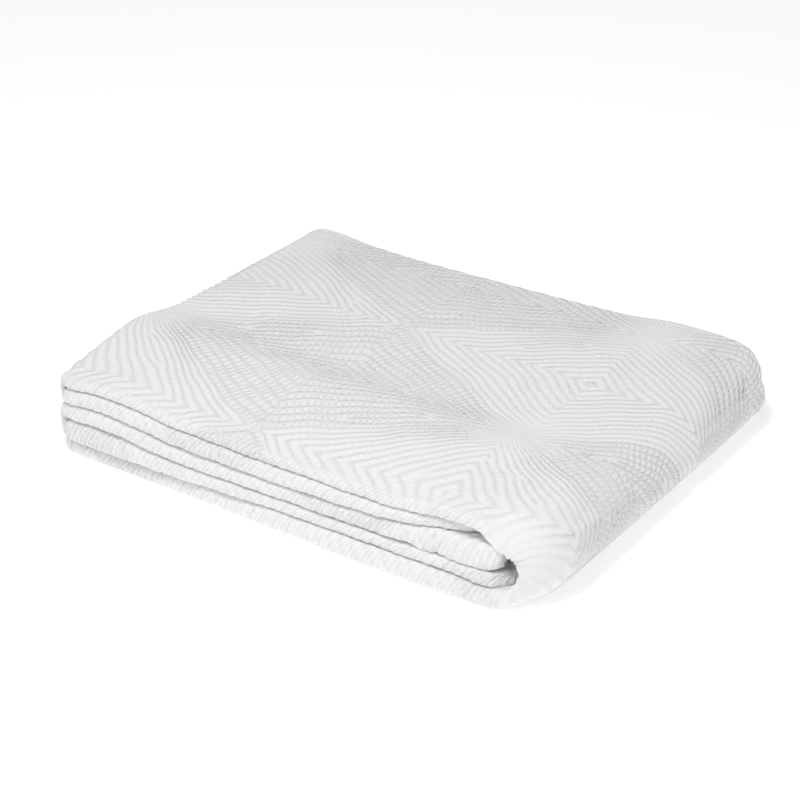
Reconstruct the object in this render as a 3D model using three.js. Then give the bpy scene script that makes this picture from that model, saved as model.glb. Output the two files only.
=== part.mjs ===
import * as THREE from "three";

// A bedspread of thick ribbed cotton, folded for the shelf. Millimetres, +Z up.
// The cloth is one sheet. It is folded lengthwise into a strip of four plies, and the strip
// is then folded back and forth across the packet into lays that lie on each other.
// X runs along the lays, from the open left end, at 0 in these tables, to the round right end.
// Y runs from the rolled front edges to the back. The finished part has its origin under its middle.

const packet = { length: 500, depth: 413 };
const cloth = { thick: 2, layGap: 0.45, plies: 4 };
const fromTop = ["top", "second", "third", "tail", "fourth", "bottom"];

// How thick each lay of four plies is at sections along the packet.
const lays = [
  { along: 0, top: 12.5, second: 13, third: 14.5, tail: 0, fourth: 20, bottom: 15 },
  { along: 60, top: 11.5, second: 15, third: 16, tail: 0, fourth: 22, bottom: 13.5 },
  { along: 130, top: 11.5, second: 15.5, third: 15, tail: 0, fourth: 14.5, bottom: 15 },
  { along: 250, top: 11, second: 15, third: 14, tail: 0, fourth: 10.8, bottom: 19 },
  { along: 340, top: 11.5, second: 12, third: 15.5, tail: 0, fourth: 10.8, bottom: 18 },
  { along: 380, top: 12.5, second: 10.8, third: 19, tail: 1, fourth: 11, bottom: 18.5 },
  { along: 405, top: 13, second: 10.8, third: 13, tail: 11, fourth: 11.5, bottom: 19.5 },
  { along: 440, top: 13.5, second: 10.8, third: 13.5, tail: 12.5, fourth: 12.5, bottom: 18.5 },
  { along: 500, top: 13.5, second: 10.8, third: 13.5, tail: 12.5, fourth: 12.5, bottom: 18 },
];

// How far each lay's rolled front edge stands out from the packet's mean depth.
const fronts = [
  { along: 0, top: -2, second: 0, third: 1, tail: 0, fourth: 3, bottom: -2.5 },
  { along: 60, top: -2, second: 1, third: 2, tail: 0, fourth: 4, bottom: -2 },
  { along: 130, top: -1, second: 2, third: 3, tail: 0, fourth: 4, bottom: 0 },
  { along: 250, top: 0, second: 3, third: 3, tail: 0, fourth: 4, bottom: 6 },
  { along: 340, top: 0, second: 2, third: 3, tail: 0, fourth: 4, bottom: 10 },
  { along: 405, top: 0, second: -2, third: 1, tail: 0, fourth: 5, bottom: 10.5 },
  { along: 500, top: 0, second: -3, third: 0, tail: 0, fourth: 5, bottom: 9.5 },
];
const backs = { top: 0, second: -4, third: 2, tail: -8, fourth: -2, bottom: 2 };

// The height that the packet settles to: a long swell behind the front edge, a trough, a lower
// swell and a slack back edge.
const heights = [
  { along: 0, front: 74, shoulder: 81, ridge: 88, trough: 78, swell: 73.5, back: 72 },
  { along: 60, front: 79, shoulder: 81, ridge: 87, trough: 75, swell: 73.5, back: 61 },
  { along: 130, front: 73, shoulder: 79.5, ridge: 85, trough: 72.5, swell: 73, back: 59 },
  { along: 250, front: 69, shoulder: 78, ridge: 82.5, trough: 70.5, swell: 72, back: 60 },
  { along: 340, front: 68, shoulder: 77, ridge: 80.5, trough: 69, swell: 71, back: 61.5 },
  { along: 405, front: 74, shoulder: 76.5, ridge: 77, trough: 68, swell: 69, back: 68 },
  { along: 500, front: 79, shoulder: 77, ridge: 73, trough: 68, swell: 66, back: 66 },
];
const acrossAt = { front: 0, shoulder: 0.12, ridge: 0.26, trough: 0.42, swell: 0.7, back: 1 };

// The round corners of the packet seen from above: how long each is along X, and how far it draws in.
const corners = {
  frontLeft: { run: 18, draw: 11 },
  backLeft: { run: 32, draw: 19 },
  frontRight: { run: 44, draw: 25 },
  backRight: { run: 58, draw: 36 },
};

// Where each lay ends or turns.
const ends = { bottomStart: 3, topLeft: 8.5, fourthLeft: 12, wrap: 462, inner: 460, lobe: 452, tailEnd: 410 };

// How far each turn reaches past that place, as a share of its radius: 1 is a round turn.
const turnReach = { wrap: 1.06, inner: 0.9, round: 1 };

// The strip's way through the packet: its runs along a lay and its turns from one lay to another.
const stripWay = [
  { lay: "bottom", from: ends.bottomStart, to: ends.wrap },
  { lay: "bottom", next: "top", at: ends.wrap, reach: turnReach.wrap, steps: 9 },
  { lay: "top", from: ends.wrap, to: ends.topLeft },
  { lay: "top", next: "second", at: ends.topLeft, reach: -turnReach.round, steps: 5 },
  { lay: "second", from: ends.topLeft, to: ends.inner },
  { lay: "second", next: "fourth", at: ends.inner, reach: turnReach.inner, steps: 6 },
  { lay: "fourth", from: ends.inner, to: ends.fourthLeft },
  { lay: "fourth", next: "third", at: ends.fourthLeft, reach: -turnReach.round, steps: 5 },
  { lay: "third", from: ends.fourthLeft, to: ends.lobe },
  { lay: "third", next: "tail", at: ends.lobe, reach: turnReach.round, steps: 5 },
  { lay: "tail", from: ends.lobe, to: ends.tailEnd },
];

// The cloth's way across the strip, in plies from its middle: its plies, and the rolls between them.
const clothWay = [
  { ply: -1.5, heading: -1 },
  { ply: -1.5, next: 1.5, heading: -1, steps: 6 },
  { ply: 1.5, heading: 1 },
  { ply: 1.5, next: 0.5, heading: 1, steps: 3 },
  { ply: 0.5, heading: -1 },
  { ply: 0.5, next: -0.5, heading: -1, steps: 3 },
  { ply: -0.5, heading: 1 },
];

const { clamp, inverseLerp, lerp } = THREE.MathUtils;

// The value of a column of a table at a place between two of its rows.
function valueAt(table, along, name) {
  const next = table.findIndex((row) => row.along >= along);
  if (next <= 0) return table[next === 0 ? 0 : table.length - 1][name];
  const a = table[next - 1];
  const b = table[next];
  return lerp(a[name], b[name], inverseLerp(a.along, b.along, along));
}

function stackHeight(along, names = fromTop) {
  return names.reduce((sum, lay) => sum + valueAt(lays, along, lay), 0);
}

// The height of the middle of a lay. The lowest one lies flat on the ground.
function layHeight(lay, along) {
  const own = valueAt(lays, along, lay);
  if (lay === "bottom") return (own - cloth.layGap) / 2;
  return stackHeight(along, fromTop.slice(fromTop.indexOf(lay) + 1)) + own / 2;
}

// The places of a run from one value to another, with every station that lies between them.
function placesOf(from, to, stations) {
  const between = stations.filter((place) => (place - from) * (place - to) < 0);
  return [from, ...(to > from ? between : between.reverse()), to];
}

// A half turn from one height to another, seen along the fold: its place and the way out of its face.
// Its radius changes evenly from the one that suits the first height to the one that suits the last.
function turnAt(share, reach, start, end, startWeight = 0.5) {
  const angle = share * Math.PI;
  const center = lerp(start, end, startWeight);
  const radius = lerp(start - center, center - end, share);
  const out = reach * Math.abs(radius) * Math.sin(angle);
  const facing = new THREE.Vector2(reach * Math.abs(radius) * Math.cos(angle), -radius * Math.sin(angle));
  facing.normalize();
  return { out, up: center + radius * Math.cos(angle), normal: { out: -facing.y, up: facing.x } };
}

// The strip's middle line, its thickness and its two edges, at each of its sections in turn.
function stripSections() {
  const stations = lays.map((row) => row.along);
  let heading = 1;
  const section = (part, x, z, normal, share) => {
    const other = part.next ?? part.lay;
    const between = (valueOf) => lerp(valueOf(part.lay), valueOf(other), share);
    return {
      x,
      z,
      normal,
      heading,
      thick: between((lay) => valueAt(lays, part.at ?? x, lay)),
      front: -packet.depth / 2 - between((lay) => valueAt(fronts, x, lay)),
      back: packet.depth / 2 + between((lay) => backs[lay]),
    };
  };
  const sectionsOf = (part) => {
    if (part.next === undefined) {
      heading = Math.sign(part.to - part.from);
      const normal = { out: 0, up: heading };
      const places = placesOf(part.from, part.to, stations);
      return places.map((x) => section(part, x, layHeight(part.lay, x), normal, 0));
    }
    const start = layHeight(part.lay, part.at);
    const end = layHeight(part.next, part.at);
    const thick = valueAt(lays, part.at, part.lay);
    const startWeight = thick / (thick + valueAt(lays, part.at, part.next));
    return Array.from({ length: part.steps - 1 }, (_, k) => {
      const share = (k + 1) / part.steps;
      const turn = turnAt(share, part.reach, start, end, startWeight);
      return section(part, part.at + turn.out, turn.up, turn.normal, share);
    });
  };
  return stripWay.flatMap(sectionsOf);
}

// The cloth's middle line across the strip at one section, with the way out of its face.
function clothAcross(section) {
  const pitch = (section.thick - cloth.layGap - cloth.thick) / (cloth.plies - 1);
  const front = section.front + 1.5 * pitch + cloth.thick / 2;
  const back = section.back - 0.5 * pitch - cloth.thick / 2;
  const stations = Object.values(acrossAt).map((share) => (share - 0.5) * packet.depth);
  const placesIn = (part) => {
    const edge = part.heading < 0 ? front : back;
    if (part.next === undefined) {
      const normal = { out: 0, up: part.heading };
      const inner = stations.slice(1, -1);
      const places = placesOf(front + back - edge, edge, inner);
      return places.map((y) => ({ y, h: part.ply * pitch, normal, heading: part.heading }));
    }
    return Array.from({ length: part.steps - 1 }, (_, k) => {
      const share = (k + 1) / part.steps;
      const turn = turnAt(share, part.heading, part.ply * pitch, part.next * pitch);
      return { y: edge + turn.out, h: turn.up, normal: turn.normal, heading: part.heading };
    });
  };
  return clothWay.flatMap(placesIn);
}

// The settled height at a share of the way from front to back.
function settledHeight(along, share) {
  const names = Object.keys(acrossAt);
  const next = clamp(names.findIndex((name) => acrossAt[name] >= share), 1, names.length - 1);
  const [a, b] = names.slice(next - 1, next + 1);
  const t = inverseLerp(acrossAt[a], acrossAt[b], share);
  return lerp(valueAt(heights, along, a), valueAt(heights, along, b), t);
}

// How far a round corner draws in at a distance from the packet's end.
function drawnIn(corner, fromEnd) {
  return corner.draw * clamp(1 - fromEnd / corner.run, 0, 1) ** 2;
}

// Lets a point of the neatly folded packet sink and spread as the soft cloth does.
function settle(x, y, z) {
  const along = clamp(x, 0, packet.length);
  const share = clamp(y / packet.depth + 0.5, 0, 1);
  const toRight = packet.length - along;
  const front = drawnIn(corners.frontLeft, along) + drawnIn(corners.frontRight, toRight);
  const back = drawnIn(corners.backLeft, along) + drawnIn(corners.backRight, toRight);
  const inset = lerp(front, back, share) / (packet.depth / 2);
  return [x, y * (1 - inset), (z * settledHeight(along, share)) / stackHeight(along)];
}

// The face and the reverse of the cloth, as rows of points: one pair of rows for each section.
// The leans say which way each cell's diagonal goes, so that it is the same in every ply and lay.
function clothPoints() {
  const points = [];
  const leans = [];
  for (const section of stripSections()) {
    const across = clothAcross(section);
    leans.push(across.map(({ heading }) => heading * section.heading));
    for (const half of [cloth.thick / 2, -cloth.thick / 2]) {
      for (const { y, h, normal } of across) {
        const up = h + half * normal.up;
        const z = Math.max(0, section.z + up * section.normal.up);
        points.push(...settle(section.x + up * section.normal.out, y + half * normal.out, z));
      }
    }
  }
  return { points, leans };
}

// The folded sheet as one closed mesh: its face, its reverse, its two side hems and its two cut ends.
function foldedCloth() {
  const { points, leans } = clothPoints();
  const rows = leans.length;
  const columns = leans[0].length;
  const face = (i, j) => 2 * i * columns + j;
  const reverse = (i, j) => (2 * i + 1) * columns + j;
  const index = [];
  const quad = (a, b, c, d, lean = 1) => {
    if (lean > 0) index.push(a, c, b, a, d, c);
    else index.push(a, d, b, b, d, c);
  };
  const hem = columns - 1;
  const end = rows - 1;
  for (let i = 0; i < end; i++) {
    for (let j = 0; j < hem; j++) {
      const lean = leans[i][j];
      quad(face(i, j), face(i, j + 1), face(i + 1, j + 1), face(i + 1, j), lean);
      quad(reverse(i, j), reverse(i + 1, j), reverse(i + 1, j + 1), reverse(i, j + 1), lean);
    }
    quad(face(i, 0), face(i + 1, 0), reverse(i + 1, 0), reverse(i, 0));
    quad(face(i, hem), reverse(i, hem), reverse(i + 1, hem), face(i + 1, hem));
  }
  for (let j = 0; j < hem; j++) {
    quad(face(0, j), reverse(0, j), reverse(0, j + 1), face(0, j + 1));
    quad(face(end, j), face(end, j + 1), reverse(end, j + 1), reverse(end, j));
  }
  const geometry = new THREE.BufferGeometry();
  geometry.setAttribute("position", new THREE.Float32BufferAttribute(points, 3));
  geometry.setIndex(index);
  geometry.computeBoundingBox();
  const { min, max } = geometry.boundingBox;
  geometry.translate(-(min.x + max.x) / 2, -(min.y + max.y) / 2, -min.z);
  geometry.computeVertexNormals();
  return geometry;
}

const cotton = new THREE.MeshStandardMaterial({ color: 0xf2f2f1, roughness: 0.9, metalness: 0 });
const bedspread = new THREE.Mesh(foldedCloth(), cotton);
bedspread.name = "bedspread";

const part = new THREE.Group();
part.add(bedspread);
export default part;
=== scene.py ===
import math

import bpy
import numpy as np
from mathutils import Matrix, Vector


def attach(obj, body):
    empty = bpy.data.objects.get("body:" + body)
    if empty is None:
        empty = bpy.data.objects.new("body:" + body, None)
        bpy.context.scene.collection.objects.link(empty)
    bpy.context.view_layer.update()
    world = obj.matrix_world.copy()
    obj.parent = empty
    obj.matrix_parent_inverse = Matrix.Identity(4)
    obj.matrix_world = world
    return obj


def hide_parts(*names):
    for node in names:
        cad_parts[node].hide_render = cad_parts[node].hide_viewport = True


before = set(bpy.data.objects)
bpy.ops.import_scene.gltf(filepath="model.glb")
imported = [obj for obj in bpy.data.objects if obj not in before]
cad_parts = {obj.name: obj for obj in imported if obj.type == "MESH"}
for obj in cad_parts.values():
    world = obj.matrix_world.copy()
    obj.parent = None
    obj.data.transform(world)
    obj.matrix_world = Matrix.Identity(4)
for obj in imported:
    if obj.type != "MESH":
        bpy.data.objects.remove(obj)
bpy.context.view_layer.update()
mm = 0.001

# The bedspread: one sheet, folded into a strip of four plies, and the strip folded back and forth.
# Sizes are in millimetres. "along" runs from the open left end to the round right end.
packet = {
    "length": 500, "depth": 413,
    "middle": (249.7, -4.4),          # the place in these tables of the frame's origin
    "clothThick": 2.0, "layGap": 0.15,
    "fineStep": 2.0,                  # mesh spacing where the ribs show
    "rollStep": 2.6,                  # along the other lays, whose rolled edges show
    "hiddenStep": 14.0,               # across the plies inside
    "triangles": 190000,
    "stripPitch": 3.2,                # a typical distance between two plies
}

# How thick each lay is along the packet.
lays = {
    "along": [0, 60, 130, 250, 340, 380, 405, 440, 500],
    "top": [12.5, 11.5, 11.5, 11, 11.5, 12.5, 13, 13.5, 13.5],
    "second": [13, 15, 15.5, 15, 12, 10.8, 10.8, 10.8, 10.8],
    "third": [14.5, 16, 15, 14, 15.5, 19, 13, 13.5, 13.5],
    "tail": [0, 0, 0, 0, 0, 1, 11, 12.5, 12.5],
    "fourth": [20, 22, 14.5, 10.8, 10.8, 11, 11.5, 12.5, 12.5],
    "bottom": [15, 13.5, 15, 19, 18, 18.5, 19.5, 18.5, 18],
}
fromTop = ["top", "second", "third", "tail", "fourth", "bottom"]

# How far each lay's rolled front edge stands out from the packet's mean depth.
fronts = {
    "along": [0, 60, 130, 250, 340, 405, 425, 438, 450, 462, 500],
    "top": [-2, -2, -1, 0, 0, 0, 0, 0, 0, 0, 0],
    "second": [0, 1, 2, 3, 2, -3, -9, -17, -25, -28, -28],
    "third": [1, 2, 3, 3, 3, 3, 4, 3, 1, -6, -26],
    "tail": [0, 0, 0, 0, -20, -26, -26, -26, -28, -30, -32],
    "fourth": [3, 4, 4, 4, 4, 5, 5, 6, 6, -4, -28],
    "bottom": [-2.5, -2, 0, 6, 10, 10.5, 10, 9.5, 9, 8, 6],
}
backs = {"top": 0, "second": -4, "third": 2, "tail": -8, "fourth": -2, "bottom": 2}

# The settled height over the packet: a row of values along it for each share of the way to the back.
heights = {
    "along": [0, 60, 130, 250, 340, 405, 500],
    "shares": [0, 0.12, 0.26, 0.42, 0.7, 1],
    "front": [74, 79, 73, 69, 68, 74, 79],
    "shoulder": [81, 81, 79.5, 78, 77, 76.5, 77],
    "ridge": [88, 87, 85, 82.5, 80.5, 77, 73],
    "trough": [78, 75, 72.5, 70.5, 69, 68, 68],
    "swell": [73.5, 73.5, 73, 72, 71, 69, 66],
    "back": [72, 61, 59, 60, 61.5, 68, 66],
}

# The round corners of the packet seen from above: length along the packet, and how far each draws in.
corners = {
    "frontLeft": {"run": 22, "draw": 12},
    "backLeft": {"run": 48, "draw": 23},
    "frontRight": {"run": 46, "draw": 26},
    "backRight": {"run": 62, "draw": 38},
}

# The turned and sewn hem round the whole sheet, where the cloth is double.
hem = {
    "width": 11, "extra": 0.5, "room": 0.08, "round": 1.6, "dip": 0.3,
    "steps": [0, 0.6, 1.6, 3.5, 6, 8.5, 10, 11.2, 13],        # mesh spacing in from the edge
    "stitch": 3.4, "stitchGap": 0.3, "thread": 0.55, "stitchDepth": 0.5,
}

# Where the lays start, turn and end, and the strip's way through them.
ends = {
    "bottomStart": 3, "topLeft": 8.5, "fourthLeft": 12,
    "wrap": 462, "inner": 460, "lobe": 458, "tailEnd": 410,
}
stripWay = [
    {"lay": "bottom", "from": "bottomStart", "to": "wrap"},
    {"lay": "bottom", "next": "top", "at": "wrap", "reach": 1.06, "steps": 56},
    {"lay": "top", "from": "wrap", "to": "topLeft"},
    {"lay": "top", "next": "second", "at": "topLeft", "reach": -1, "steps": 16},
    {"lay": "second", "from": "topLeft", "to": "inner"},
    {"lay": "second", "next": "fourth", "at": "inner", "reach": 0.9, "steps": 12},
    {"lay": "fourth", "from": "inner", "to": "fourthLeft"},
    {"lay": "fourth", "next": "third", "at": "fourthLeft", "reach": -1, "steps": 16},
    {"lay": "third", "from": "fourthLeft", "to": "lobe"},
    {"lay": "third", "next": "tail", "at": "lobe", "reach": 1, "steps": 12},
    {"lay": "tail", "from": "lobe", "to": "tailEnd"},
]
wrapTurn, topLay, topTurn, thirdTurn, thirdLay = 1, 2, 3, 7, 8      # numbers of these parts in stripWay

# The cloth's way across the strip, in plies from its middle.
clothWay = [
    {"ply": -1.5, "heading": -1, "step": "fineStep"},
    {"ply": -1.5, "next": 1.5, "heading": -1, "steps": 18, "fullness": 0.82},
    {"ply": 1.5, "heading": 1, "step": "hiddenStep"},
    {"ply": 1.5, "next": 0.5, "heading": 1, "steps": 8},
    {"ply": 0.5, "heading": -1, "step": "hiddenStep"},
    {"ply": 0.5, "next": -0.5, "heading": -1, "steps": 6},
    {"ply": -0.5, "heading": 1, "step": "hiddenStep"},
]


# A smooth curve through the knots that never overshoots them.
def smoothValues(knots, values, at):
    knots = np.asarray(knots, float)
    values = [np.asarray(v, float) for v in values]
    widths = np.diff(knots)
    rises = [(b - a) / w for a, b, w in zip(values, values[1:], widths)]
    slopes = [rises[0]]
    for before, after in zip(rises, rises[1:]):
        same = before * after > 0
        total = np.where(same, before + after, 1)
        slopes.append(np.where(same, 2 * before * after / total, 0))
    slopes.append(rises[-1])
    at = np.clip(at, knots[0], knots[-1])
    k = np.clip(np.searchsorted(knots, at, side="right") - 1, 0, len(widths) - 1)
    t = (at - knots[k]) / widths[k]

    def pick(rows, which):
        rows = [np.broadcast_to(r, np.shape(at)) for r in rows]
        return np.choose(which, rows)

    a, b = pick(values, k), pick(values, k + 1)
    ma, mb = pick(slopes, k) * widths[k], pick(slopes, k + 1) * widths[k]
    leaving = (2 * t**3 - 3 * t**2 + 1) * a + (t**3 - 2 * t**2 + t) * ma
    return leaving + (3 * t**2 - 2 * t**3) * b + (t**3 - t**2) * mb


def tableAt(table, name, along):
    return smoothValues(table["along"], table[name], np.asarray(along, float))


def stackHeight(along, names=fromTop):
    return sum(tableAt(lays, name, along) for name in names)


def layHeight(lay, along):
    own = tableAt(lays, lay, along)
    if lay == "bottom":
        return (own - packet["layGap"]) / 2
    below = fromTop[fromTop.index(lay) + 1:]
    return stackHeight(along, below) + own / 2


# The way out, the height and the facing of a half turn, seen along its fold.
# A fullness below 1 gives the squarer roll of a pressed fold.
def halfTurn(share, reach, start, end, startWeight=0.5, fullness=1.0):
    sine, cosine = np.sin(share * math.pi), np.cos(share * math.pi)
    middle = start + (end - start) * startWeight
    radius = (start - middle) * (1 - share) + (middle - end) * share
    out = reach * np.abs(radius) * sine**fullness
    up = middle + radius * np.sign(cosine) * np.abs(cosine) ** fullness
    sine, cosine = sine ** (2 - fullness), np.sign(cosine) * np.abs(cosine) ** (2 - fullness)
    facing = np.stack([reach * np.abs(radius) * cosine, -radius * sine])
    facing = facing / np.linalg.norm(facing, axis=0)
    return out, up, -facing[1], facing[0]


# Even steps from one place to another, closer where the way starts or ends in a hem.
def hemmed(start, end, step, first, last):
    way = math.copysign(1, end - start)
    inset = hem["steps"][-1] + 2
    inner = (start + way * inset * first, end - way * inset * last)
    places = [np.linspace(*inner, int(abs(inner[1] - inner[0]) / step) + 1)]
    if first:
        places.insert(0, start + way * np.array(hem["steps"]))
    if last:
        places.append(end - way * np.array(hem["steps"][::-1]))
    return np.concatenate(places)


# Columns of numbers for every section of the strip, from its start under the packet to its tail.
def stripSections():
    names = ["x", "z", "out", "up", "thick", "front", "back"]
    parts = {name: [] for name in names}
    layOf = []
    for part in stripWay:
        lay = part["lay"]
        other = part.get("next", lay)
        if other == lay:
            start, end = ends[part["from"]], ends[part["to"]]
            heading = math.copysign(1, end - start)
            step = packet["fineStep"] if lay == "top" else packet["rollStep"]
            first, last = part is stripWay[0], part is stripWay[-1]
            x = hemmed(start, end, step, first, last)
            z, out, up = layHeight(lay, x), 0 * x, 0 * x + heading
            share = 0 * x
            thick = tableAt(lays, lay, x)
        else:
            share = np.arange(1, part["steps"]) / part["steps"]
            at = np.full_like(share, ends[part["at"]])
            start, end = layHeight(lay, at), layHeight(other, at)
            a, b = tableAt(lays, lay, at), tableAt(lays, other, at)
            turnOut, z, out, up = halfTurn(share, part["reach"], start, end, a / (a + b))
            x = at + turnOut
            thick = a + (b - a) * share
        front = tableAt(fronts, lay, x) * (1 - share) + tableAt(fronts, other, x) * share
        back = backs[lay] * (1 - share) + backs[other] * share
        frontEdge, backEdge = -packet["depth"] / 2 - front, packet["depth"] / 2 + back
        values = [x, z, out, up, thick, frontEdge, backEdge]
        for name, value in zip(names, values):
            parts[name].append(value)
        layOf += [part] * len(x)
    section = {name: np.concatenate(parts[name]) for name in names}
    edges = []
    for side in (-0.5, 0.5):              # the flat length is that of the outer ply
        h = side * section["thick"]
        line = np.stack([section["x"] + h * section["out"], section["z"] + h * section["up"]], 1)
        edges.append(np.linalg.norm(np.diff(line, axis=0), axis=1))
    flat = np.concatenate([[0], np.cumsum(np.maximum(*edges))])
    onTop = [i for i, part in enumerate(layOf) if part["lay"] == "top" and "next" not in part][0]
    section["flat"] = section["x"][onTop] + flat[onTop] - flat
    section["lay"] = layOf
    return section


# Columns of numbers for every place across the cloth, in plies and in shares of the strip's width.
def clothColumns():
    names = ["share", "ply", "outPly", "normalY", "normalUp"]
    parts = {name: [] for name in names}
    kind = []
    for part in clothWay:
        toFront = part["heading"] < 0
        if "next" in part:
            share = np.arange(1, part["steps"]) / part["steps"]
            turn = (share, part["heading"], part["ply"], part["next"])
            out, up, normalY, normalUp = halfTurn(*turn, fullness=part.get("fullness", 1))
            values = [0 * share + (0 if toFront else 1), up, out, normalY, normalUp]
        else:
            depth = packet["depth"]
            first, last = part is clothWay[0], part is clothWay[-1]
            way = (depth, 0) if toFront else (0, depth)
            share = hemmed(*way, packet[part["step"]], first, last) / depth
            values = [share, 0 * share + part["ply"], 0 * share, 0 * share, 0 * share + part["heading"]]
        for name, value in zip(names, values):
            parts[name].append(value)
        kind += [part] * len(share)
    column = {name: np.concatenate(parts[name]) for name in names}
    column["part"] = kind
    width = packet["depth"] - 3.5 * packet["stripPitch"]
    y = column["share"] * width + column["outPly"] * packet["stripPitch"]
    h = column["ply"] * packet["stripPitch"]
    length = np.concatenate([[0], np.cumsum(np.hypot(np.diff(y), np.diff(h)))])
    fold = np.argmin(np.where([p is clothWay[1] for p in kind], y, 1e9))
    column["flat"] = length - length[fold]    # 0 along the front fold, less towards the top's hem
    return column


def settledHeight(along, share):
    rows = [tableAt(heights, name, along) for name in heights if name not in ("along", "shares")]
    return smoothValues(heights["shares"], rows, share)


def drawnIn(corner, fromEnd):
    near = np.clip(1 - fromEnd / corner["run"], 0, 1)
    return corner["draw"] * (1 - np.sqrt(1 - near**2 * 0.96))       # not quite a quarter circle


# Lets the neat packet sink and spread as the soft cloth does.
def settle(x, y, z):
    along = np.clip(x, 0, packet["length"])
    share = np.clip(y / packet["depth"] + 0.5, 0, 1)
    toRight = packet["length"] - along
    front = drawnIn(corners["frontLeft"], along) + drawnIn(corners["frontRight"], toRight)
    back = drawnIn(corners["backLeft"], along) + drawnIn(corners["backRight"], toRight)
    inset = (front * (1 - share) + back * share) / (packet["depth"] / 2)
    return x, y * (1 - inset), z * settledHeight(along, share) / stackHeight(along)


# The front edge of the round end curls in and closes the mouth that the inner lays come out of.
# "flat" is a place along the strip: the top lay starts to turn down at 462 and is on the ground at 588.
lip = {
    "flat": [425, 437, 446, 457, 470, 525, 560, 588, 600, 615],
    "share": [0, 0.12, 0.5, 0.8, 0.95, 0.9, 0.6, 0.2, 0.05, 0],
    "pull": 24, "depth": 30,
    "bumps": 0.9, "bumpLength": 21,
    "smoothFrom": 438, "smoothTo": 604, "smoothDepth": 24,    # where the curl draws the ribs flat
    "smoothRun": 16, "smoothDepthRun": 14, "smoothShare": 0.7,
}
# The tail of the strip fills out one lay's rolled edge into a smooth lobe in that mouth.
lobe = {
    "along": [374, 394, 412, 440, 474], "share": [0, 0.5, 1, 1, 0],
    "stretch": 1.05, "depth": 30,
    "gathers": 1.4, "gatherLength": 9, "gatherMiddle": 396, "gatherReach": 14,
}


# Pulls the front edge of the round end towards the mouth.
def curlIn(section, x, y, z, frontEdge):
    weight = smoothValues(lip["flat"], lip["share"], section["flat"])[:, None]
    near = np.clip(1 - (y - frontEdge) / lip["depth"], 0, 1)
    move = lip["pull"] * weight * near**2
    return x + move * section["out"][:, None], z + move * section["up"][:, None]


# Makes the third lay's edge thicker downwards where the tail ends inside it.
def fillLobe(section, y, h, frontEdge):
    own = np.array([part["lay"] == "third" for part in section["lay"]])
    weight = np.where(own, smoothValues(lobe["along"], lobe["share"], section["x"]), 0)[:, None]
    near = np.clip(1 - (y - frontEdge) / lobe["depth"], 0, 1)
    near = near * near * (3 - 2 * near)
    top = section["thick"][:, None] / 2
    return top - (top - h) * (1 + lobe["stretch"] * weight * near)


# The woven ribs: a mirrored lattice of stars, with nested diamonds and long lenses between them.
ribs = {
    "star": (393, -141),              # a star's place on the flat cloth
    "halfAcross": 195, "halfDown": 117,
    "lensRibs": 10, "lensFan": 0.18, "lensCore": 0.12,
    "diamondRibs": 13, "diamondCore": 0.12,
    "frontFan": 0.6, "backFan": 0.15,     # how much the ribs spread before and behind the star
    "wobble": 2.0, "ripple": 0.4,     # how far they stray, and the fine part of that as a share
    "swayS": (19, 31, 1.3), "swayT": (23, 37, 1.7),     # two wavelengths, and how the first is bent
    "rippleS": (7.3, 11), "rippleT": (8.1, 13),
    "profile": 1.05,
    "height": 2.0, "level": 0.55,     # their height in millimetres, and their mean level from 0 to 1
    "crowded": 2.2, "crowdRun": 3, "crowdLeast": 0.15,  # they are lower where they crowd
    "calm": 60, "calmLeast": 0.25,    # and round a star
    "forks": [                        # where a short rib is let in between two others: place and length
        (413, -60, 60), (381, -62, 56), (452, -56, 48), (290, -92, 70), (235, -172, 70),
        (500, -170, 60), (50, -78, 50), (110, -190, 60), (160, -262, 60), (330, -300, 60),
    ],
    "forkCalm": 6,
    "rollPitch": 5.2, "rollReach": 12, "rollRun": 8,    # the finer ribs that the rolled edges show
    "lumps": 0.35,                    # soft unevenness of the rolled edges
    "hemRun": 24,
}


# How far the curl at the mouth draws the ribs flat, from 0 to 1.
def curled(s, t):
    run = lip["smoothRun"]
    within = np.clip((s - lip["smoothFrom"]) / run, 0, 1) * np.clip((lip["smoothTo"] - s) / run, 0, 1)
    nearFold = np.clip((t + lip["smoothDepth"]) / lip["smoothDepthRun"], 0, 1)
    return lip["smoothShare"] * within * nearFold


# The place in the star lattice, and the number of ribs from the nearest diagonal.
def latticePlace(s, t):
    wave, ripple = ribs["wobble"], ribs["ripple"] * ribs["wobble"]
    lengthS, crossS, bendS = ribs["swayS"]
    lengthT, crossT, bendT = ribs["swayT"]
    fineS = np.sin(t / ribs["rippleS"][0] + s / ribs["rippleS"][1])
    fineT = np.sin(s / ribs["rippleT"][0] - t / ribs["rippleT"][1])
    s2 = s + wave * np.sin(t / lengthS + bendS * np.sin(s / crossS)) + ripple * fineS
    t2 = t + wave * np.sin(s / lengthT + bendT * np.sin(t / crossT)) + ripple * fineT
    u = (s2 - ribs["star"][0]) / ribs["halfAcross"]
    v = (t2 - ribs["star"][1]) / ribs["halfDown"]
    p = np.abs(u - 2 * np.round(u / 2))
    q = np.abs(v - 2 * np.round(v / 2))
    fan = np.where(np.mod(v, 4) < 2, ribs["frontFan"], ribs["backFan"])
    lens = ribs["lensRibs"] * (q - p) / np.maximum(p, ribs["lensCore"]) ** ribs["lensFan"]
    diamond = ribs["diamondRibs"] * (q - p) / np.maximum(q, ribs["diamondCore"]) ** fan
    return p, q, np.where(p > q, lens, diamond)


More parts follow.
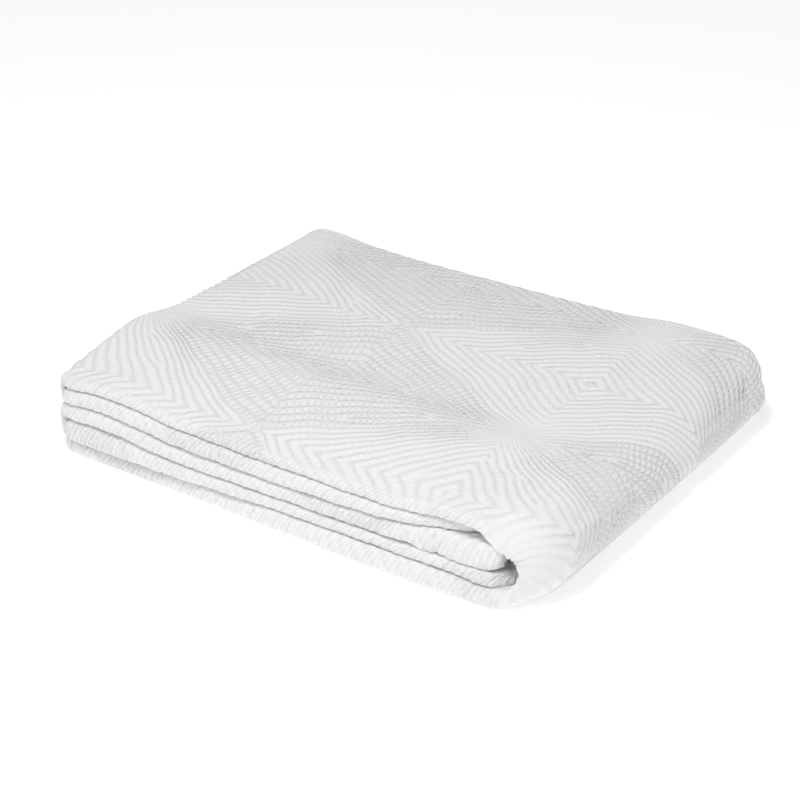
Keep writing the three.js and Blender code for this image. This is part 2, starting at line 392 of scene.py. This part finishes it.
# The two ends of each let-in rib, which lies along the ribs beside it.
def forkEnds():
    found = []
    for s, t, length in ribs["forks"]:
        here = latticePlace(s, t)[2]
        slopeS, slopeT = latticePlace(s + 1, t)[2] - here, latticePlace(s, t + 1)[2] - here
        across = Vector((slopeS, slopeT)).normalized()
        half = Vector((across.y, -across.x)) * length / 2
        found.append((s - half.x, t - half.y, 1))
        found.append((s + half.x, t + half.y, -1))
    return found


# The height of the ribs, from 0 to 1, at a grid of places on the flat cloth in millimetres.
def ribPattern(s, t):
    p, q, phase = latticePlace(s, t)
    overS = np.gradient(phase, axis=0) / np.maximum(np.abs(np.gradient(s, axis=0)), 0.1)
    overT = np.gradient(phase, axis=1) / np.maximum(np.abs(np.gradient(t, axis=1)), 0.1)
    spacing = 1 / np.maximum(np.hypot(overS, overT), 0.05)
    clear = np.clip((spacing - ribs["crowded"]) / ribs["crowdRun"], ribs["crowdLeast"], 1)
    for forkS, forkT, side in forkEnds():
        phase = phase + side * np.arctan2(t - forkT, s - forkS) / (2 * math.pi)
        clear = np.minimum(clear, np.hypot(t - forkT, s - forkS) / ribs["forkCalm"])
    height = np.abs(np.cos(math.pi * phase)) ** ribs["profile"]
    radius = np.hypot(p * ribs["halfAcross"], q * ribs["halfDown"])
    calm = np.clip(radius / ribs["calm"], ribs["calmLeast"], 1)
    onRoll = np.clip((ribs["rollReach"] - np.abs(t)) / ribs["rollRun"], 0, 1)
    keep = clear * calm * (1 - curled(s, t)) * (1 - 0.75 * onRoll)
    return ribs["level"] + (height - ribs["level"]) * keep


# What the hem adds to half the cloth's thickness, with its sewn line and its rounded edge.
def hemExtra(section, column, pitch):
    s, t = section["flat"][:, None], column["flat"][None, :]
    fromEdge = np.minimum(np.minimum(s[0] - s, s - s[-1]), np.minimum(t - t[:, 0], t[:, -1] - t))
    half = packet["clothThick"] / 2
    room = np.maximum(pitch / 2 - half - hem["room"], 0)
    extra = np.minimum(hem["extra"], room) * np.clip((hem["width"] - fromEdge) / 2, 0, 1)
    extra = extra - hem["dip"] * np.exp(-((fromEdge - hem["width"] + 1) / 1.1) ** 2)
    roundness = np.sqrt(1 - (1 - np.clip(fromEdge / hem["round"], 0, 1)) ** 2)
    return (half + extra) * (0.35 + 0.65 * roundness) - half


# The face and the reverse of the folded cloth, as grids of points, with the flat place of each.
def clothGrid():
    section, column = stripSections(), clothColumns()
    pitch = ((section["thick"] - packet["layGap"] - packet["clothThick"]) / 3)[:, None]
    half = packet["clothThick"] / 2
    front = section["front"][:, None] + 1.5 * pitch + half
    back = section["back"][:, None] - 0.5 * pitch - half
    y0 = front + (back - front) * column["share"] + column["outPly"] * pitch
    h0 = column["ply"] * pitch
    sides = []
    frontEdge = section["front"][:, None]
    thick = half + hemExtra(section, column, pitch)
    for side in (thick, -thick):
        y = y0 + side * column["normalY"]
        up = fillLobe(section, y, h0 + side * column["normalUp"], frontEdge)
        x = section["x"][:, None] + up * section["out"][:, None]
        z = np.maximum(0, section["z"][:, None] + up * section["up"][:, None])
        x, z = curlIn(section, x, y, z, frontEdge)
        sides.append(np.stack(settle(x, y, z), -1))
    flat = np.stack(np.broadcast_arrays(section["flat"][:, None], column["flat"][None, :]), -1)
    return section, column, sides, flat


# The direction out of the face at each point of a grid.
def outward(points):
    down, across = np.gradient(points, axis=0), np.gradient(points, axis=1)
    normal = np.cross(across, down)
    return normal / np.maximum(np.linalg.norm(normal, axis=2, keepdims=True), 1e-9)


# Raises the ribs where the face shows: on top, round the right end and on the rolled edges.
def addRibs(section, column, face, flat):
    part = np.array([clothWay.index(p) for p in column["part"]])
    wayOf = np.array([stripWay.index(p) for p in section["lay"]])
    topPly, frontRoll, lowPly = part == 0, part == 1, part == 2
    around = np.isin(wayOf, [wrapTurn, topLay, topTurn])
    roundness = np.abs(column["normalY"])               # 1 at the middle of a roll, 0 where plies meet
    onTop = around[:, None] & topPly[None, :]
    toHem = np.clip((1 - column["share"]) * packet["depth"] / ribs["hemRun"], 0.2, 1)
    reliefHere = np.where(onTop, toHem[None, :], 0.0)
    reliefHere = np.where(frontRoll[None, :], 0.9 * roundness[None, :], reliefHere)
    leftTurn = (wayOf == thirdTurn)[:, None] & lowPly[None, :]
    reliefHere = np.where(leftTurn, 0.7, reliefHere)
    wrapStart = np.clip(face[..., 2] / 12, 0, 1)        # none where the cloth lies on the ground
    reliefHere = reliefHere * wrapStart
    rise = (ribPattern(flat[..., 0], flat[..., 1]) - ribs["level"]) * ribs["height"] * reliefHere
    s, t = flat[..., 0], flat[..., 1]
    onFold = np.where(frontRoll, roundness, 0)[None, :]
    lump = np.sin(s / 7.1 + t / 5 + 2 * np.sin(s / 29))
    lump = lump + 0.8 * np.sin(s / 11.7 - t / 4 + np.sin(s / 17))
    lump = lump + 0.9 * np.sin(2 * math.pi * (s / 9.2 + t / 10) + 1.5 * np.sin(s / 23))
    lump = lump * (1 - 1.2 * curled(s, t))
    rise += ribs["lumps"] * lump * onFold * wrapStart
    rope = np.sin(2 * math.pi * s / lip["bumpLength"] + 1.2 * np.sin(s / 9) + 0.25 * t)
    rise += lip["bumps"] * rope * curled(s, t) * onFold * wrapStart
    own = (wayOf == thirdLay)[:, None] & frontRoll[None, :]
    window = np.exp(-((section["x"] - lobe["gatherMiddle"]) / lobe["gatherReach"]) ** 2)[:, None]
    gather = np.sin(2 * math.pi * section["x"] / lobe["gatherLength"])[:, None] * window
    rise += np.where(own, lobe["gathers"] * gather * roundness[None, :], 0)
    return face + outward(face) * rise[..., None]


# The numbers of a grid of points, and the four corners of each cell of it.
def gridFaces(rows, columns, first, flip=False):
    number = first + np.arange(rows * columns).reshape(rows, columns)
    a, b, c, d = number[:-1, :-1], number[:-1, 1:], number[1:, 1:], number[1:, :-1]
    cells = np.stack([a, d, c, b] if flip else [a, b, c, d], -1).reshape(-1, 4)
    return number, cells


def makeBedspread():
    section, column, (face, reverse), flat = clothGrid()
    face = addRibs(section, column, face, flat)
    rows, columns = face.shape[:2]
    points = np.concatenate([face.reshape(-1, 3), reverse.reshape(-1, 3)])
    faceNumber, faceCells = gridFaces(rows, columns, 0, flip=True)
    reverseNumber, reverseCells = gridFaces(rows, columns, rows * columns)
    cells = [faceCells, reverseCells]
    for a, b in (
        (faceNumber[:, 0], reverseNumber[:, 0]),
        (reverseNumber[:, -1], faceNumber[:, -1]),
        (reverseNumber[0], faceNumber[0]),
        (faceNumber[-1], reverseNumber[-1]),
    ):
        cells.append(np.stack([a[:-1], a[1:], b[1:], b[:-1]], -1))
    cells = np.concatenate(cells)
    place = points - [packet["middle"][0], packet["middle"][1], 0]
    mesh = bpy.data.meshes.new("bedspreadCloth")
    mesh.vertices.add(len(points))
    mesh.vertices.foreach_set("co", (place * mm).astype(np.float32).ravel())
    mesh.loops.add(cells.size)
    mesh.loops.foreach_set("vertex_index", cells.astype(np.int32).ravel())
    mesh.polygons.add(len(cells))
    mesh.polygons.foreach_set("loop_start", np.arange(0, cells.size, 4, dtype=np.int32))
    mesh.polygons.foreach_set("use_smooth", np.ones(len(cells), bool))
    mesh.update(calc_edges=True)
    layer = mesh.uv_layers.new(name="flatCloth")
    flatBoth = np.concatenate([flat.reshape(-1, 2)] * 2) * mm
    layer.uv.foreach_set("vector", flatBoth[cells.ravel()].astype(np.float32).ravel())
    piece = bpy.data.objects.new("bedspreadCloth", mesh)
    bpy.context.scene.collection.objects.link(piece)
    print("folded cloth:", len(points), "points,", 2 * len(cells), "triangles")
    inset = hem["width"] - 1
    hemLines = [(0, 1, column["flat"][0] + inset), (0, 1, column["flat"][-1] - inset)]
    hemLines += [(1, 0, section["flat"][0] - inset), (1, 0, section["flat"][-1] + inset)]
    thin = piece.modifiers.new("fewer", "DECIMATE")
    thin.ratio = packet["triangles"] / (2 * len(cells))
    bpy.context.view_layer.objects.active = piece
    bpy.ops.object.modifier_apply(modifier=thin.name)
    print("thinned to", sum(len(p.vertices) - 2 for p in piece.data.polygons), "triangles")
    return piece, hemLines


cotton = {
    # The valley colour is painted shade: it darkens the base colour in the rib valleys, and the bead share
    # paints shade between the beads too.
    "unshadedCrest": (0.87, 0.872, 0.875), "valleyShade": (0.775, 0.779, 0.788),
    "roughness": 0.88, "sheen": 0.25, "sheenRoughness": 0.5,
    "ribBump": 0.8, "beadBump": 1.2, "weaveBump": 0.14,     # millimetres
    "lensBeads": 0.8,                                       # the share of the beads that only lenses have
    "beadLength": 6.2, "beadJitter": 0.45, "thread": 0.9,
    "beadShade": 0.5, "crestGain": 1.35,
}


# The result of a Math node with these numbers or sockets.
def socketMath(tree, operation, *values):
    node = tree.nodes.new("ShaderNodeMath")
    node.operation = operation
    for socket, value in zip(node.inputs, values):
        if isinstance(value, (int, float)):
            socket.default_value = value
        else:
            tree.links.new(value, socket)
    return node.outputs[0]


# sin(a/A + b/B + ...) of pairs of a socket and a length.
def sineSum(tree, *terms):
    total = 0.0
    for value, length in terms:
        total = socketMath(tree, "ADD", socketMath(tree, "DIVIDE", value, length), total)
    return socketMath(tree, "SINE", total)


# The same star lattice as ribPattern, as nodes. Ribs and Beads are heights from 0 to 1.
def makeRibGroup():
    tree = bpy.data.node_groups.new("starRibs", "ShaderNodeTree")
    tree.interface.new_socket("Flat Place", in_out="INPUT", socket_type="NodeSocketVector")
    bead = tree.interface.new_socket("Bead Length", in_out="INPUT", socket_type="NodeSocketFloat")
    bead.default_value = cotton["beadLength"]
    for name in ("Ribs", "Beads", "Lens"):
        tree.interface.new_socket(name, in_out="OUTPUT", socket_type="NodeSocketFloat")
    source, result = tree.nodes.new("NodeGroupInput"), tree.nodes.new("NodeGroupOutput")
    apart = tree.nodes.new("ShaderNodeSeparateXYZ")
    tree.links.new(source.outputs["Flat Place"], apart.inputs[0])

    def m(operation, *values):
        return socketMath(tree, operation, *values)

    def limited(value):
        return m("MINIMUM", m("MAXIMUM", value, 0), 1)

    s, t = m("MULTIPLY", apart.outputs[0], 1000), m("MULTIPLY", apart.outputs[1], 1000)
    wave, ripple = ribs["wobble"], ribs["wobble"] * ribs["ripple"]
    lengthS, crossS, bendS = ribs["swayS"]
    lengthT, crossT, bendT = ribs["swayT"]
    swayS = sineSum(tree, (t, lengthS), (sineSum(tree, (s, crossS)), 1 / bendS))
    swayT = sineSum(tree, (s, lengthT), (sineSum(tree, (t, crossT)), 1 / bendT))
    fineS = sineSum(tree, (t, ribs["rippleS"][0]), (s, ribs["rippleS"][1]))
    fineT = sineSum(tree, (s, ribs["rippleT"][0]), (t, -ribs["rippleT"][1]))
    s2 = m("ADD", m("MULTIPLY_ADD", swayS, wave, s), m("MULTIPLY", fineS, ripple))
    t2 = m("ADD", m("MULTIPLY_ADD", swayT, wave, t), m("MULTIPLY", fineT, ripple))
    u = m("DIVIDE", m("SUBTRACT", s2, ribs["star"][0]), ribs["halfAcross"])
    v = m("DIVIDE", m("SUBTRACT", t2, ribs["star"][1]), ribs["halfDown"])
    p, q = m("PINGPONG", u, 1), m("PINGPONG", v, 1)
    inFront = m("LESS_THAN", m("FLOORED_MODULO", v, 4), 2)
    apartBy = m("SUBTRACT", q, p)
    lensFar = m("POWER", m("MAXIMUM", p, ribs["lensCore"]), ribs["lensFan"])
    lens = m("DIVIDE", m("MULTIPLY", apartBy, ribs["lensRibs"]), lensFar)
    fan = m("MULTIPLY_ADD", inFront, ribs["frontFan"] - ribs["backFan"], ribs["backFan"])
    diamondFar = m("POWER", m("MAXIMUM", q, ribs["diamondCore"]), fan)
    diamond = m("DIVIDE", m("MULTIPLY", apartBy, ribs["diamondRibs"]), diamondFar)
    inLens = m("GREATER_THAN", p, q)
    phase = m("ADD", m("MULTIPLY", lens, inLens), m("MULTIPLY", diamond, m("SUBTRACT", 1, inLens)))
    clear = 1
    for forkS, forkT, side in forkEnds():
        awayS, awayT = m("SUBTRACT", s, forkS), m("SUBTRACT", t, forkT)
        phase = m("MULTIPLY_ADD", m("ARCTAN2", awayT, awayS), side / (2 * math.pi), phase)
        away = m("SQRT", m("ADD", m("MULTIPLY", awayS, awayS), m("MULTIPLY", awayT, awayT)))
        clear = m("MINIMUM", m("DIVIDE", away, ribs["forkCalm"]), clear)
    rib = m("POWER", m("ABSOLUTE", m("COSINE", m("MULTIPLY", phase, math.pi))), ribs["profile"])
    across, down = m("MULTIPLY", p, ribs["halfAcross"]), m("MULTIPLY", q, ribs["halfDown"])
    radius = m("SQRT", m("ADD", m("MULTIPLY", across, across), m("MULTIPLY", down, down)))
    ring = m("DIVIDE", radius, source.outputs["Bead Length"])
    sway = m("MULTIPLY", sineSum(tree, (s, 9.7), (t, 6.1)), 0.1)
    ribOwn = m("SINE", m("MULTIPLY", m("ROUND", phase), 12.9))     # a number of its own for each rib
    jitter = m("MULTIPLY_ADD", ribOwn, cotton["beadJitter"], sway)
    beads = m("ABSOLUTE", m("COSINE", m("MULTIPLY", m("ADD", ring, jitter), math.pi)))
    calm = m("MINIMUM", m("MAXIMUM", m("DIVIDE", radius, ribs["calm"]), ribs["calmLeast"]), clear)
    enter = limited(m("DIVIDE", m("SUBTRACT", s, lip["smoothFrom"]), lip["smoothRun"]))
    leave = limited(m("DIVIDE", m("SUBTRACT", lip["smoothTo"], s), lip["smoothRun"]))
    nearFold = limited(m("DIVIDE", m("ADD", t, lip["smoothDepth"]), lip["smoothDepthRun"]))
    curl = m("MULTIPLY", m("MULTIPLY", enter, leave), m("MULTIPLY", nearFold, lip["smoothShare"]))
    keep = m("MULTIPLY", calm, m("SUBTRACT", 1, curl))
    rib = m("MULTIPLY_ADD", m("SUBTRACT", rib, ribs["level"]), keep, ribs["level"])
    beads = m("MULTIPLY_ADD", m("SUBTRACT", beads, 1), keep, 1)
    onRoll = limited(m("DIVIDE", m("SUBTRACT", ribs["rollReach"], m("ABSOLUTE", t)), ribs["rollRun"]))
    onRoll = m("MULTIPLY", onRoll, m("SUBTRACT", 1, m("MULTIPLY", curl, 1.3)))
    slant = m("ADD", m("MULTIPLY_ADD", t, 0.9, s), m("MULTIPLY", sineSum(tree, (s, 13), (t, 5)), 1.6))
    fine = m("ABSOLUTE", m("COSINE", m("MULTIPLY", slant, math.pi / ribs["rollPitch"])))
    rib = m("MULTIPLY_ADD", m("SUBTRACT", fine, rib), m("MULTIPLY", onRoll, 0.5), rib)
    tree.links.new(rib, result.inputs["Ribs"])
    tree.links.new(beads, result.inputs["Beads"])
    tree.links.new(inLens, result.inputs["Lens"])
    return tree


def makeCotton(hemLines):
    material = bpy.data.materials.new("whiteCotton")
    material.use_nodes = True
    tree = material.node_tree
    shader = tree.nodes["Principled BSDF"]
    shader.inputs["Roughness"].default_value = cotton["roughness"]
    shader.inputs["Sheen Weight"].default_value = cotton["sheen"]
    shader.inputs["Sheen Roughness"].default_value = cotton["sheenRoughness"]

    def m(operation, *values):
        return socketMath(tree, operation, *values)

    flat = tree.nodes.new("ShaderNodeUVMap")
    flat.uv_map = "flatCloth"
    pattern = tree.nodes.new("ShaderNodeGroup")
    pattern.node_tree = makeRibGroup()
    tree.links.new(flat.outputs["UV"], pattern.inputs["Flat Place"])
    threads = tree.nodes.new("ShaderNodeTexNoise")
    threads.noise_dimensions = "2D"
    threads.inputs["Scale"].default_value = 1000 / cotton["thread"]
    threads.inputs["Detail"].default_value = 2
    tree.links.new(flat.outputs["UV"], threads.inputs["Vector"])
    ribHeight, beads = pattern.outputs["Ribs"], pattern.outputs["Beads"]
    inLens, everywhere = cotton["lensBeads"], 1 - cotton["lensBeads"]
    beadBump = cotton["beadBump"]
    beadDepth = m("MULTIPLY_ADD", pattern.outputs["Lens"], beadBump * inLens, beadBump * everywhere)
    height = m("MULTIPLY", ribHeight, cotton["ribBump"])
    height = m("ADD", height, m("MULTIPLY", m("MULTIPLY", beads, ribHeight), beadDepth))
    height = m("ADD", height, m("MULTIPLY", threads.outputs["Fac"], cotton["weaveBump"]))
    apart = tree.nodes.new("ShaderNodeSeparateXYZ")
    tree.links.new(flat.outputs["UV"], apart.inputs[0])
    stitches = 0.0
    for along, across, line in hemLines:    # each runs one way over the cloth, at a place the other way
        run = m("MULTIPLY", m("SINE", m("MULTIPLY", apart.outputs[along], 2000 * math.pi / hem["stitch"])), 2)
        dash = m("MINIMUM", m("MAXIMUM", m("ADD", run, 2 * hem["stitchGap"] + 1), 0), 1)
        off = m("ABSOLUTE", m("SUBTRACT", m("MULTIPLY", apart.outputs[across], 1000), line))
        thread = m("MAXIMUM", m("SUBTRACT", 1, m("DIVIDE", off, hem["thread"])), 0)
        stitches = m("ADD", m("MULTIPLY", dash, thread), stitches)
    height = m("ADD", height, m("MULTIPLY", stitches, hem["stitchDepth"]))
    bump = tree.nodes.new("ShaderNodeBump")
    bump.inputs["Distance"].default_value = mm
    tree.links.new(height, bump.inputs["Height"])
    tree.links.new(bump.outputs["Normal"], shader.inputs["Normal"])
    # Painted shade: the base colour darkens from the crest white into the rib valleys and the gaps between
    # the beads.
    beadShade = cotton["beadShade"]
    unshadedCrest = m("MULTIPLY", ribHeight, m("MULTIPLY_ADD", beads, beadShade, 1 - beadShade))
    paintedShade = tree.nodes.new("ShaderNodeMix")
    paintedShade.data_type = "RGBA"
    paintedShade.inputs["A"].default_value = (*cotton["valleyShade"], 1)
    paintedShade.inputs["B"].default_value = (*cotton["unshadedCrest"], 1)
    tree.links.new(m("MINIMUM", m("MULTIPLY", unshadedCrest, cotton["crestGain"]), 1), paintedShade.inputs["Factor"])
    tree.links.new(paintedShade.outputs["Result"], shader.inputs["Base Color"])
    return material


studio = {
    "floorColor": (0.97, 0.97, 0.97), "floorSize": 30.0,
    "floorGlow": 0.3,                 # keeps the floor white up to the horizon
    "world": 0.57,
    "key": {"place": (0.2, -0.7, 1.52), "size": 0.5, "power": 11.5},
}
cameraView = {
    "lens": 103.85, "sensor": 36, "turn": 33.497, "tilt": 27.986,
    "distance": 2.1374, "aim": (-0.0504, 0.0467, 0),
}


def makeStudio():
    bpy.ops.mesh.primitive_plane_add(size=studio["floorSize"])
    floor = bpy.context.object
    floor.name = "paleFloor"
    material = bpy.data.materials.new("paleFloor")
    material.use_nodes = True
    shader = material.node_tree.nodes["Principled BSDF"]
    shader.inputs["Base Color"].default_value = (*studio["floorColor"], 1)
    shader.inputs["Roughness"].default_value = 0.9
    shader.inputs["Emission Color"].default_value = (1, 1, 1, 1)
    shader.inputs["Emission Strength"].default_value = studio["floorGlow"]
    floor.data.materials.append(material)
    key = studio["key"]
    light = bpy.data.lights.new("key", "AREA")
    light.shape = "DISK"
    light.size = key["size"]
    light.energy = key["power"]
    lamp = bpy.data.objects.new("key", light)
    lamp.location = key["place"]
    lamp.rotation_euler = (-Vector(key["place"])).to_track_quat("-Z", "Y").to_euler()
    bpy.context.scene.collection.objects.link(lamp)
    world = bpy.data.worlds.new("softWorld")
    world.use_nodes = True
    world.node_tree.nodes["Background"].inputs["Color"].default_value = (1, 1, 1, 1)
    world.node_tree.nodes["Background"].inputs["Strength"].default_value = studio["world"]
    bpy.context.scene.world = world
    bpy.context.scene.view_settings.view_transform = "Standard"


def makeCamera():
    data = bpy.data.cameras.new("camera")
    data.lens = cameraView["lens"]
    data.sensor_width = cameraView["sensor"]
    camera = bpy.data.objects.new("camera", data)
    turn, tilt = math.radians(cameraView["turn"]), math.radians(cameraView["tilt"])
    away = Vector((math.sin(turn) * math.cos(tilt), -math.cos(turn) * math.cos(tilt), math.sin(tilt)))
    camera.location = Vector(cameraView["aim"]) + away * cameraView["distance"]
    camera.rotation_euler = (-away).to_track_quat("-Z", "Y").to_euler()
    bpy.context.scene.collection.objects.link(camera)
    bpy.context.scene.camera = camera


makeCamera()
makeStudio()
print("studio and camera ready")

bedspread, hemLines = makeBedspread()
bedspread.data.materials.append(makeCotton(hemLines))
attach(bedspread, "root")
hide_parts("bedspread")
print("bedspread ready")
